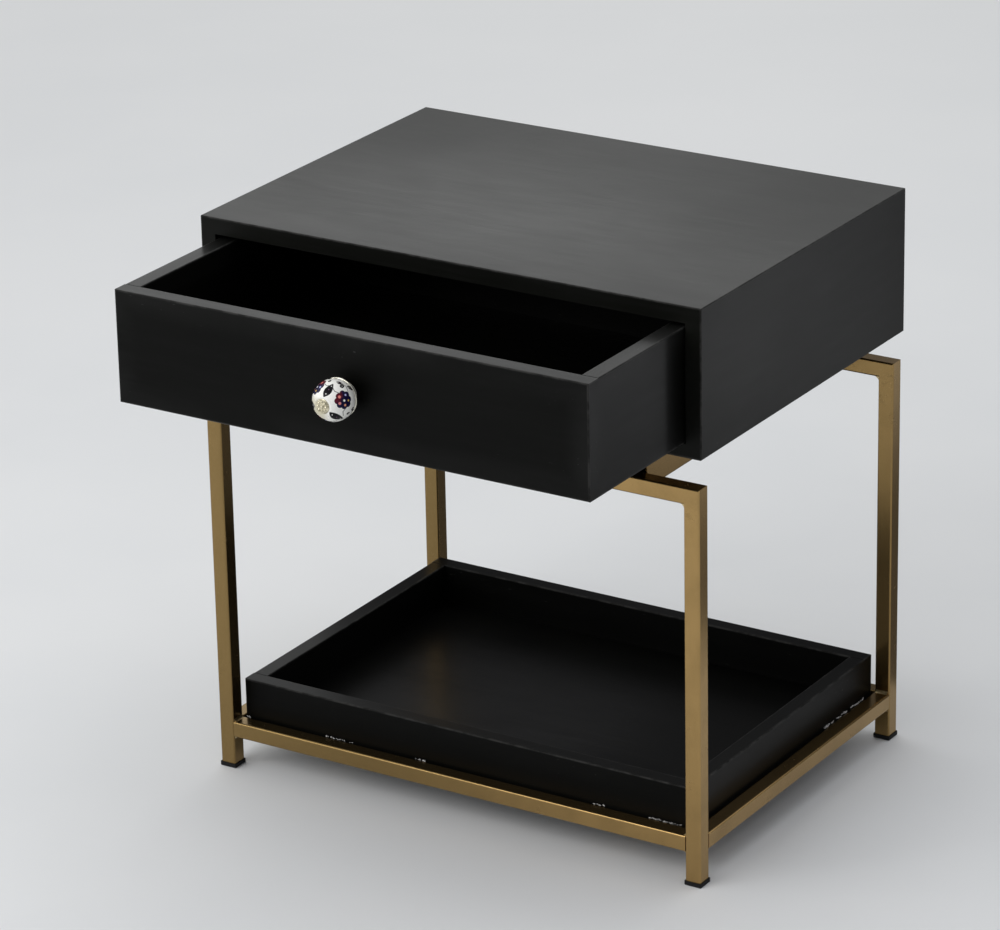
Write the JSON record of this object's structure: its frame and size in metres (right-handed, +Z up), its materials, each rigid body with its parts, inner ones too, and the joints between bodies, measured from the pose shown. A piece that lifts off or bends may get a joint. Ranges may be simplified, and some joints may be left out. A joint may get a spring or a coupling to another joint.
{
  "type": "side table with drawer",
  "caption": "Low side table: square-tube metal frame, black wooden carcass with an open-topped drawer on a round ceramic knob, and a nested wooden tray shelf below.",
  "frame": {"origin": "on the floor, in the middle of the bounding box of the table with its drawer drawn out as at rest", "axes": "+X to the right seen from the drawer's side, +Y from the drawer's front to the back, +Z up"},
  "size_m": [0.5016, 0.5462, 0.524],
  "materials": {
    "black_wood": "satin black paint on wood",
    "gold_painted_steel": "antique gold metallic paint, satin",
    "black_plastic": "moulded, matte",
    "dowel_wood": "bare beech",
    "zinc_steel": "zinc plated",
    "glazed_ceramic": "hand-painted, glazed",
    "pewter": "antiqued pewter plate"
  },
  "bodies": {
    "table": {"carcass_top": "black_wood", "carcass_side_left": "black_wood", "carcass_side_right": "black_wood", "carcass_bottom": "black_wood", "carcass_back": "black_wood", "drawer_stops": "black_wood", "tray_base": "black_wood", "tray_wall_front": "black_wood", "tray_wall_rear": "black_wood", "tray_wall_left": "black_wood", "tray_wall_right": "black_wood", "leg_front_left": "gold_painted_steel", "leg_front_right": "gold_painted_steel", "leg_rear_left": "gold_painted_steel", "leg_rear_right": "gold_painted_steel", "crossbar_front": "gold_painted_steel", "crossbar_rear": "gold_painted_steel", "rail_front": "gold_painted_steel", "rail_rear": "gold_painted_steel", "rail_left": "gold_painted_steel", "rail_right": "gold_painted_steel", "bearer_left": "gold_painted_steel", "bearer_right": "gold_painted_steel", "weld_beads": "gold_painted_steel", "tray_tabs": "gold_painted_steel", "foot_plugs": "black_plastic", "carcass_dowels": "dowel_wood", "tray_screws": "zinc_steel", "carcass_screws": "zinc_steel"},
    "drawer": {"drawer_front": "black_wood", "drawer_side_left": "black_wood", "drawer_side_right": "black_wood", "drawer_back": "black_wood", "drawer_floor": "black_wood", "drawer_dowels": "dowel_wood", "knob_ball": "glazed_ceramic", "knob_collar": "pewter", "knob_flower": "pewter", "knob_bolt": "zinc_steel", "knob_washer": "zinc_steel", "knob_nut": "zinc_steel"}
  },
  "joints": [
    {"name": "drawer_slide", "type": "slide", "parent": "table", "child": "drawer", "axis": [0, -1, 0], "range_m": [-0.15, 0.1]}
  ]
}
